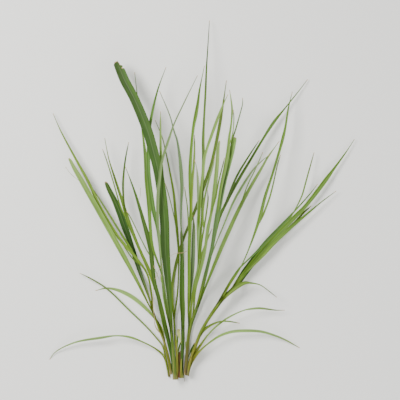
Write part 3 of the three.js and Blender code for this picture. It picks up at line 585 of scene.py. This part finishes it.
def stalk_line(tiller):
    """The middle of a stalk, the radius of what is inside its sheaths, and how far along it is."""
    places, travelled = along_route(tiller["stalk"], STALK_STEP)
    x, y, width = places.T
    z = np.maximum(width / 2 * STALK_FLATTEN, tiller["level"] * fan_height(x, y))
    core = np.maximum(width / 2 - SHEATH_STEP * hugging(tiller), LEAST_CORE * width)
    return np.column_stack([x, y, z]), core, travelled


def stalk_colour(name, from_base):
    """The colour of a stalk's sheaths, at distances from its cut end, with the painted shade that some carry
    low down.
    """
    base, low, high = (deepened(c) for c in STALKS[name])
    lower = mix(base, low, smoothstep(from_base, *BASE_TINT))
    return mix(lower, high, smoothstep(from_base, *HIGH_TINT))


# Pieces are gathered as closed rings of points, with what is painted on them

class Bundle:
    """The points, faces and painted values of one piece."""

    def __init__(self):
        self.points = []
        self.faces = []
        self.painted = {}
        self.count = 0

    def add(self, rings, **painted):
        """Rings that run left, top, right, bottom as seen along the line, closed at both ends."""
        steps, sides = rings.shape[:2]
        grid = self.count + np.arange(steps * sides).reshape(steps, sides)
        turned = np.roll(grid, -1, axis=1)
        around = np.stack([grid[:-1], turned[:-1], turned[1:], grid[1:]], axis=-1)
        self.faces.append(around.reshape(-1, 4))
        left = np.arange(sides // 2 - 1)
        strip = np.stack([left, sides - 1 - left, sides - 2 - left, left + 1], axis=-1)
        self.faces.append(grid[0][strip])
        self.faces.append(grid[-1][strip[:, ::-1]])
        self.points.append(rings.reshape(-1, 3))
        self.count += steps * sides
        for name, value in painted.items():
            whole = np.broadcast_to(value, (steps, sides) + np.shape(value)[2:])
            self.painted.setdefault(name, []).append(whole.reshape(steps * sides, -1))


def add_piece(name, bundle, material, stands_for=None):
    """Makes a piece of a bundle. stands_for is the node of the part that it replaces."""
    mesh = bpy.data.meshes.new(name)
    mesh.from_pydata((np.vstack(bundle.points) * MM).tolist(), [], np.vstack(bundle.faces).tolist())
    for value, parts in bundle.painted.items():
        whole = np.vstack(parts)
        kind, key = ("FLOAT", "value") if whole.shape[1] == 1 else ("FLOAT_COLOR", "color")
        mesh.attributes.new(value, kind, "POINT").data.foreach_set(key, whole.ravel())
    mesh.shade_smooth()
    mesh.set_sharp_from_angle(angle=SHARP_EDGE)
    mesh.materials.append(material)
    piece = bpy.data.objects.new(name, mesh)
    bpy.context.scene.collection.objects.link(piece)
    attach(piece, "root")
    if stands_for:
        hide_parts(stands_for)


def both_sides(values):
    """Values across a blade, for its top and then back along its underside."""
    return np.concatenate([values, values[:, ::-1]], axis=1)


# Blades

def add_blade(bundle, blade, index, name, draw):
    """One leaf: the sheath that hugs its stalk from the base up, if it has one, and its blade."""
    tiller = TILLERS[name]
    centres, parted, width, travelled = blade_line(blade, tiller)
    share = travelled / travelled[-1]
    left = (travelled[-1] - travelled)[:, None]
    if not blade["cut"]:
        width = mix(width, TIP_WIDTH, smoothstep(share, 1 - TIP_TAPER, 1))
    from_base = np.zeros(len(width))
    hug = np.zeros(len(width))
    swing = 0.0
    if blade["on"] is None and not blade["loose"]:
        stalk, core, reach = stalk_line(tiller)
        order = sum(other["on"] is None for other in tiller["leaves"][:index])
        root = np.argmin(np.hypot(*(stalk[:, :2] - centres[0, :2]).T))
        first = min(order // 2, root - LEAST_SHEATH)
        sheath = slice(first, root)
        centres = np.vstack([stalk[sheath], centres])
        parted, share = (np.concatenate([np.zeros(root - first), part]) for part in (parted, share))
        left = np.concatenate([np.full((root - first, 1), np.inf), left])
        width = np.concatenate([np.full(root - first, width[0]), width])
        from_base = np.concatenate([reach[sheath], reach[root] + travelled])
        travelled = np.concatenate([reach[sheath] - reach[root], travelled])
        hug = np.concatenate([core[sheath], np.full(len(width) - root + first, core[root])])
        hug = hug + SHEATH_STEP * (hugging(tiller) - order - SHEATH_INSET)
        swing = SLIT_SWING * math.sin(SLIT_PER_SHEATH * order + SLIT_PER_LEVEL * tiller["level"])
        joint = np.exp(-(travelled[1:-1, None] / JOINT_LENGTH) ** 2)
        for _ in range(JOINT_ROUNDS):
            centres[1:-1] = mix(centres[1:-1], (centres[:-2] + centres[2:]) / 2, joint)
        wrap = 1 - smoothstep(travelled, 0, WRAP_LENGTH)[:, None]
    else:
        width = width * mix(ROOT_SHARE, 1, smoothstep(travelled, 0, ROOT_TAPER))
        wrap = np.zeros((len(width), 1))
    along, across, above = frames(centres)
    length = travelled[:, None]
    half = width[:, None] / 2
    slender = np.maximum(np.minimum(width / SLENDER_WIDTH, 1)[:, None], WRAPPED_THICK * wrap)
    u = np.linspace(-1, 1, 2 * BLADE_ACROSS + 1)[None, :]
    level = blade["level"]
    fold = mix(ROOT_FOLD, OPEN_FOLD if level else FLAT_FOLD, parted)[:, None]
    turn = LEAN * math.sin(TURN_PER_LEAF * index + TURN_PER_LEVEL * tiller["level"]) if level else 0

    wave = length / draw.uniform(*RIPPLE_RUN) + draw.uniform(*PHASES)
    ripple = RIPPLE * width[:, None] * np.sin(wave + u)
    height = (half * np.tan(fold) * np.abs(u) ** FOLD_CURVE + half * math.tan(turn) * parted[:, None] * u
              + ripple * np.abs(u) ** 3 * parted[:, None])
    spread = mix(WRAP_ANGLE, SHEATH_ANGLE, smoothstep(-length, *SHEATH_CLOSING))
    angle = u * spread + swing * smoothstep(-length, 0, SLIT_RUN)
    sideways = mix(half * u, hug[:, None] * np.sin(angle), wrap)
    height = mix(height, -hug[:, None] * np.cos(angle) * STALK_FLATTEN, wrap)
    skin = mix(half * u, hug[:, None] * u * spread, wrap)

    dry = np.full(sideways.shape, float(blade["dry"]))
    for distance, side, depth, run in blade["bites"]:
        missing = np.exp(-((left - distance) / run) ** 2) * (u * side > 0)
        sideways = sideways * (1 - np.clip(missing * depth / half, 0, BITE_DEEPEST))
        dry = np.maximum(dry, missing * smoothstep(u * side, *BITE_RIM))
    forward = np.zeros(sideways.shape)
    if blade["cut"]:
        teeth = np.array([draw.uniform(*CUT_TEETH) for _ in u[0]])
        ragged = blade["cut"] * teeth * mix(CUT_MIDDLE, 1, np.abs(u))
        forward = -ragged * (1 - smoothstep(left, 0, CUT_LENGTH))
        dry = np.maximum(dry, 1 - smoothstep(left, *CUT_RIM))
    else:
        dried = draw.uniform(*DRY_TIP) if blade["dried"] is None else blade["dried"]
        dry = np.maximum(dry, 1 - smoothstep(left, dried * DRY_TIP_FULL, dried))
    withered = draw.uniform(*WITHERED_MARGIN) * smoothstep(np.abs(u), *WITHERED_EDGE)
    withered = withered + draw.uniform(*WITHERED_FACE)
    dry = np.maximum(dry, withered * smoothstep(-length, *WITHERED_RUN))

    thick = mix(BLADE_THICK, MARGIN_THICK, u ** 2) / 2 * slender
    rib = (u == 0) * slender * (1 - wrap)
    sections = []
    for offset in (thick - MIDRIB_GROOVE * rib, -thick - MIDRIB_THICK * rib):
        points = (centres[:, None] + across[:, None] * sideways[..., None]
                  + above[:, None] * (height + offset)[..., None] + along[:, None] * forward[..., None])
        sections.append(points)
    rings = np.concatenate([sections[0], sections[1][:, ::-1]], axis=1)
    rings[..., 2] = np.maximum(rings[..., 2], LOWEST)

    low, face, margin, tip = look_colours(blade["look"])
    length = length[..., None]
    colour = mix(low, face, smoothstep(length, *LOW_TINT))
    colour = mix(colour, tip, smoothstep(share[:, None, None], *TIP_TINT))
    # A lit side is a painted highlight, the margin's paler colour over the half that faces the light, partly
    # the leaf's own two tones
    if blade["lit"]:
        edge = smoothstep(u * blade["lit"], *PAINTED_LIT_HALF)
    else:
        edge = MARGIN_SHOWN * smoothstep(np.abs(u), *MARGIN_TINT)
    colour = mix(colour, margin, edge[..., None])
    if hug.any():
        sheathed = stalk_colour(name, from_base[:, None, None])
        colour = mix(sheathed, colour, smoothstep(length, 0, SHEATH_TINT))
        collar = COLLAR_SHOWN * np.exp(-((length - COLLAR_PLACE) / COLLAR_LENGTH) ** 2)
        colour = mix(colour, np.array(linear(SHEATH_RIM)), collar)
    tone = 1 + draw.uniform(-TONE_SPREAD, TONE_SPREAD)
    tone = tone + TONE_WAVE * np.sin(length / TONE_RUN + draw.uniform(*PHASES))
    colour = colour * np.concatenate([np.repeat(tone, 3, axis=2), np.ones(tone.shape)], axis=2)
    bundle.add(
        rings, colour=both_sides(colour), sideways=both_sides(skin), dry=both_sides(dry),
        along=travelled[:, None] + LEAF_APART * draw.random(),
        broad=(smoothstep(width, *BROAD_WIDTH) * (1 - wrap[:, 0]))[:, None],
        under=np.repeat([[0.0, 1.0]], u.size, axis=1))


# Stalks: the pith inside the sheaths, cut through at the base

def add_stalk(bundle, name, tiller, draw):
    """One stalk inside its sheaths, with the layers that its cut end shows."""
    centres, radius, travelled = stalk_line(tiller)
    along, across, above = frames(centres)
    around = np.linspace(0, 2 * np.pi, STALK_SIDES, endpoint=False)[None, :]
    bulge = (1 + BASE_BULGE * np.exp(-(travelled / BULGE_LENGTH) ** 2)
             - TOP_NARROWING * smoothstep(travelled[-1] - travelled, TOP_TAPER, 0))
    reach = (radius * bulge)[:, None] * (1 + RIB_DEPTH * np.cos(RIB_COUNT * around))
    flat = np.stack([-np.cos(around) * reach, np.sin(around) * reach * STALK_FLATTEN], axis=-1)
    tube = centres[:, None] + across[:, None] * flat[..., :1] + above[:, None] * flat[..., 1:]
    cut = [centres[0] + (tube[0] - centres[0]) * share + along[0] * depth
           for share, depth in CUT_LAYERS]
    rings = np.concatenate([cut, tube])
    rings[..., 2] = np.maximum(rings[..., 2], LOWEST)
    length = np.concatenate([np.zeros(len(cut)), travelled])[:, None, None]
    colour = stalk_colour(name, length)
    colour[:len(cut)] = linear(CUT_FACE)
    measured = length[..., 0] + LEAF_APART * draw.random()
    bundle.add(rings, colour=colour, sideways=around * radius[0], along=measured, dry=0.0 * measured)


# The crown

def add_crown(bundle):
    """The knobbly woody spindle between the stalk bases."""
    reach = np.linspace(CROWN_PROFILE[0][1], CROWN_PROFILE[-1][1], CROWN_RINGS)[:, None]
    radius = np.interp(reach, [p[1] for p in CROWN_PROFILE], [p[0] for p in CROWN_PROFILE])
    around = np.linspace(0, 2 * np.pi, STALK_SIDES, endpoint=False)[None, :]
    knobs = 1 + sum(depth * np.sin(count * around + reach / run) for depth, count, run in KNOBS)
    depth, count, run, waviness = SCARS
    knobs = knobs - depth * np.abs(np.sin(reach / run + waviness * np.sin(count * around)))
    x = CROWN_CENTRE[0] - np.cos(around) * radius * knobs * CROWN_STRETCH[0]
    z = CROWN_CENTRE[2] + np.sin(around) * radius * knobs * CROWN_STRETCH[1]
    rings = np.stack([x, CROWN_CENTRE[1] + reach + 0 * around, z], axis=-1)
    bundle.add(rings, colour=np.array([[linear(CROWN_COLOUR)]]), sideways=around * CROWN_GIRTH,
               along=reach, dry=0.0 * reach)


# Materials

def add_node(tree, kind, inputs=None, **settings):
    """Adds a shader node and gives its outputs. inputs maps a socket to its value or what feeds it."""
    made = tree.nodes.new("ShaderNode" + kind)
    for name, value in settings.items():
        setattr(made, name, value)
    for socket, value in (inputs or {}).items():
        if isinstance(value, bpy.types.NodeSocket):
            tree.links.new(value, made.inputs[socket])
        else:
            made.inputs[socket].default_value = value
    return made.outputs


def plant_material(name, roughness, midrib, dry_colours, sheen=0.0, vein=0.8, vein_depth=0.08):
    """A plant surface coloured by what is painted on its points, with veins along it.

    midrib is the midrib's colour, and dry_colours are the two that withered places are mottled with.
    sheen is the weight of its bloom of wax. vein is the distance between two veins and vein_depth
    their relief, both in millimetres."""
    material = bpy.data.materials.new(name)
    material.use_nodes = True
    tree = material.node_tree
    surface = tree.nodes["Principled BSDF"]
    painted = add_node(tree, "Attribute", attribute_name="colour")["Color"]
    sideways, along, dry, broad, under = (
        add_node(tree, "Attribute", attribute_name=value)["Fac"]
        for value in ("sideways", "along", "dry", "broad", "under"))
    spot = add_node(tree, "CombineXYZ", {"X": sideways, "Y": along})[0]

    # Veins and the cells between them, drawn out along the leaf
    noise = {"From Min": NOISE[0], "From Max": NOISE[1]}
    stretched = add_node(tree, "VectorMath", {0: spot, 1: (1 / VEIN_SHOWN, 1 / VEIN_RUN, 1)},
                         operation="MULTIPLY")[0]
    streaks = add_node(tree, "TexNoise", {"Vector": stretched, "Scale": 1.0, "Detail": 2.0})[0]
    streak_tone = add_node(tree, "MapRange", {"Value": streaks, "To Min": VEIN_TONE[0],
                                              "To Max": VEIN_TONE[1], **noise})[0]
    blotched = add_node(tree, "VectorMath", {0: spot, 1: (1 / BLOTCH_WIDTH, 1 / BLOTCH, 1)},
                        operation="MULTIPLY")[0]
    blotches = add_node(tree, "TexNoise", {"Vector": blotched, "Scale": 1.0, "Detail": 3.0})[0]
    blotch_tone = add_node(tree, "MapRange", {"Value": blotches, "To Min": BLOTCH_TONE[0],
                                              "To Max": BLOTCH_TONE[1], **noise})[0]
    tone = add_node(tree, "Math", {0: streak_tone, 1: blotch_tone}, operation="MULTIPLY")[0]
    veined = add_node(tree, "Mix", {0: 1.0, 6: painted, 7: tone},
                      data_type="RGBA", blend_type="MULTIPLY")[2]

    # The midrib, a pale line that only the broader blades show
    fade_start, fade_end = (share * MIDRIB_HALF for share in MIDRIB_EDGE)
    off_middle = add_node(tree, "Math", {0: sideways}, operation="ABSOLUTE")[0]
    on_midrib = add_node(tree, "MapRange", {"Value": off_middle, "From Min": fade_start,
                                            "From Max": fade_end, "To Min": MIDRIB_SHOWN,
                                            "To Max": 0.0})[0]
    midrib_shown = add_node(tree, "Math", {0: on_midrib, 1: broad}, operation="MULTIPLY")[0]
    ribbed = add_node(tree, "Mix", {0: midrib_shown, 6: veined, 7: linear(midrib)}, data_type="RGBA")[2]

    # The underside is paler, with more wax on it
    paler = add_node(tree, "Math", {0: under, 1: UNDERSIDE_SHOWN}, operation="MULTIPLY")[0]
    two_sided = add_node(tree, "Mix", {0: paler, 6: ribbed, 7: linear(UNDERSIDE)}, data_type="RGBA")[2]

    # Withered ends and edges, with a mottled border
    straw, brown = dry_colours
    withered = add_node(tree, "Mix", {0: blotches, 6: linear(straw), 7: linear(brown)}, data_type="RGBA")[2]
    border = add_node(tree, "Math", {0: dry, 1: streaks}, operation="ADD")[0]
    how_dry = add_node(tree, "MapRange", {"Value": border, "From Min": DRY_BORDER[0],
                                          "From Max": DRY_BORDER[1]})[0]
    finished = add_node(tree, "Mix", {0: how_dry, 6: two_sided, 7: withered}, data_type="RGBA")[2]
    tree.links.new(finished, surface.inputs["Base Color"])

    # The veins catch the light a little differently from what lies between them
    smoothest, roughest = (roughness + change for change in GLOSS_SPREAD)
    gloss = add_node(tree, "MapRange", {"Value": streaks, "To Min": smoothest, "To Max": roughest,
                                        **noise})[0]
    tree.links.new(gloss, surface.inputs["Roughness"])
    for socket, value in (("IOR", LEAF_IOR), ("Specular IOR Level", LEAF_SPECULAR),
                          ("Sheen Weight", sheen), ("Sheen Roughness", SHEEN_ROUGHNESS)):
        surface.inputs[socket].default_value = value

    phase = add_node(tree, "Math", {0: sideways, 1: 2 * math.pi / vein}, operation="MULTIPLY")[0]
    ridges = add_node(tree, "Math", {0: phase}, operation="SINE")[0]
    relief = add_node(tree, "Math", {0: ridges, 1: streaks}, operation="ADD")[0]
    bump = add_node(tree, "Bump", {"Height": relief, "Strength": RELIEF, "Distance": vein_depth * MM})[0]
    tree.links.new(bump, surface.inputs["Normal"])
    return material


# What a living blade withers to: straw, mottled with brown
STRAW = ("#b8a068", "#8a6a42")
# Living grass blade: a satin skin with parallel veins, and on the blue-green one a bloom of wax that
# takes the edge off its gloss
LEAVES = {
    "yellow_green_leaf": plant_material("yellow_green_grass_blade", roughness=0.46, midrib="#c3d184",
                                        dry_colours=STRAW),
    "blue_green_leaf": plant_material("waxy_blue_green_grass_blade", roughness=0.52, midrib="#b5c78e",
                                      dry_colours=STRAW, sheen=0.06),
    "olive_leaf": plant_material("olive_grass_blade", roughness=0.44, midrib="#a9b860", dry_colours=STRAW),
}
# Fresh leaf sheath: smooth and juicy, finely ribbed, so it is glossier than the blade
SHEATHS = {
    slot: plant_material(slot.replace("leaf", "leaf_sheath"), roughness=0.38, midrib="#c9cf98",
                         dry_colours=("#c2a47c", "#8f6748"), vein=1.1, vein_depth=0.1)
    for slot in LEAVES
}
# Dead sheath: dry, papery and fibrous, so it has no gloss. Its dark dry browns are partly painted shade, of
# the shadow among the stalk bases, and partly the sheath's own brown.
FIBRE = plant_material("papery_dry_grass_sheath", roughness=0.85, midrib="#b59a6e",
                       dry_colours=("#7f6640", "#49381f"), vein=0.7, vein_depth=0.16)
# Bleached thread: what is left of an old blade, pale straw and without gloss
THREAD = plant_material("bleached_grass_thread", roughness=0.8, midrib="#b59a6e",
                        dry_colours=("#bda982", "#8f7850"), vein=0.7, vein_depth=0.1)

SLOTS = {
    "tiller_far_left": "yellow_green_leaf", "tiller_left": "yellow_green_leaf",
    "tiller_mid_left": "olive_leaf", "tiller_broad_leaf": "blue_green_leaf",
    "tiller_thin": "yellow_green_leaf", "tiller_centre": "olive_leaf",
    "tiller_right_centre": "yellow_green_leaf", "tiller_right_fan": "blue_green_leaf",
    "tiller_right_mid": "olive_leaf", "tiller_right": "yellow_green_leaf",
}

for name, tiller in TILLERS.items():
    draw = random.Random(name)
    blades = Bundle()
    for index, blade in enumerate(tiller["leaves"]):
        add_blade(blades, blade, index, name, draw)
    add_piece(name + "_blades", blades, LEAVES[SLOTS[name]], name)
    stalk = Bundle()
    add_stalk(stalk, name, tiller, draw)
    add_piece(name + "_stalk", stalk, SHEATHS[SLOTS[name]], name)

crown = Bundle()
add_crown(crown)
add_piece("woody_crown", crown, FIBRE, "crown")

for name, (slot, bits) in BITS.items():
    draw = random.Random(name)
    loose = Bundle()
    for index, bit in enumerate(bits):
        add_blade(loose, bit, index, "tiller_thin", draw)
    add_piece(name, loose, THREAD if name == "dry_threads" else LEAVES.get(slot, FIBRE))


# Floor, light and camera

# Matt pale card: without gloss, so that nothing but soft shadows shows on it
card = bpy.data.materials.new("matt_pale_card")
card.use_nodes = True
card_surface = card.node_tree.nodes["Principled BSDF"]
card_surface.inputs["Base Color"].default_value = linear(FLOOR_COLOUR)
card_surface.inputs["Roughness"].default_value = FLOOR_ROUGHNESS
sheet = bpy.data.meshes.new("floor")
sheet.from_pydata([(-FLOOR_HALF, -FLOOR_HALF, 0), (FLOOR_HALF, -FLOOR_HALF, 0),
                   (FLOOR_HALF, FLOOR_HALF, 0), (-FLOOR_HALF, FLOOR_HALF, 0)], [], [(0, 1, 2, 3)])
sheet.materials.append(card)
floor = bpy.data.objects.new("floor", sheet)
bpy.context.scene.collection.objects.link(floor)

for name, (place, size, power) in LAMPS.items():
    lamp = bpy.data.lights.new(name, "AREA")
    lamp.shape = "DISK"
    lamp.size = size
    lamp.energy = power
    holder = bpy.data.objects.new(name, lamp)
    holder.location = place
    holder.rotation_euler = (-Vector(place)).to_track_quat("-Z", "Y").to_euler()
    holder.visible_camera = False
    bpy.context.scene.collection.objects.link(holder)

world = bpy.data.worlds.new("soft_room")
world.use_nodes = True
backdrop = world.node_tree.nodes["Background"]
backdrop.inputs["Color"].default_value = linear(ROOM_COLOUR)
backdrop.inputs["Strength"].default_value = ROOM_LIGHT
bpy.context.scene.world = world

lens = bpy.data.cameras.new("camera")
lens.sensor_width = SENSOR_WIDTH
lens.lens = lens.sensor_width * (CAMERA_HEIGHT - MIDDLE_HEIGHT) / PHOTO_WIDTH
camera = bpy.data.objects.new("camera", lens)
camera.location = (PHOTO_MIDDLE * MM, 0, CAMERA_HEIGHT * MM)
bpy.context.scene.collection.objects.link(camera)
bpy.context.scene.camera = camera
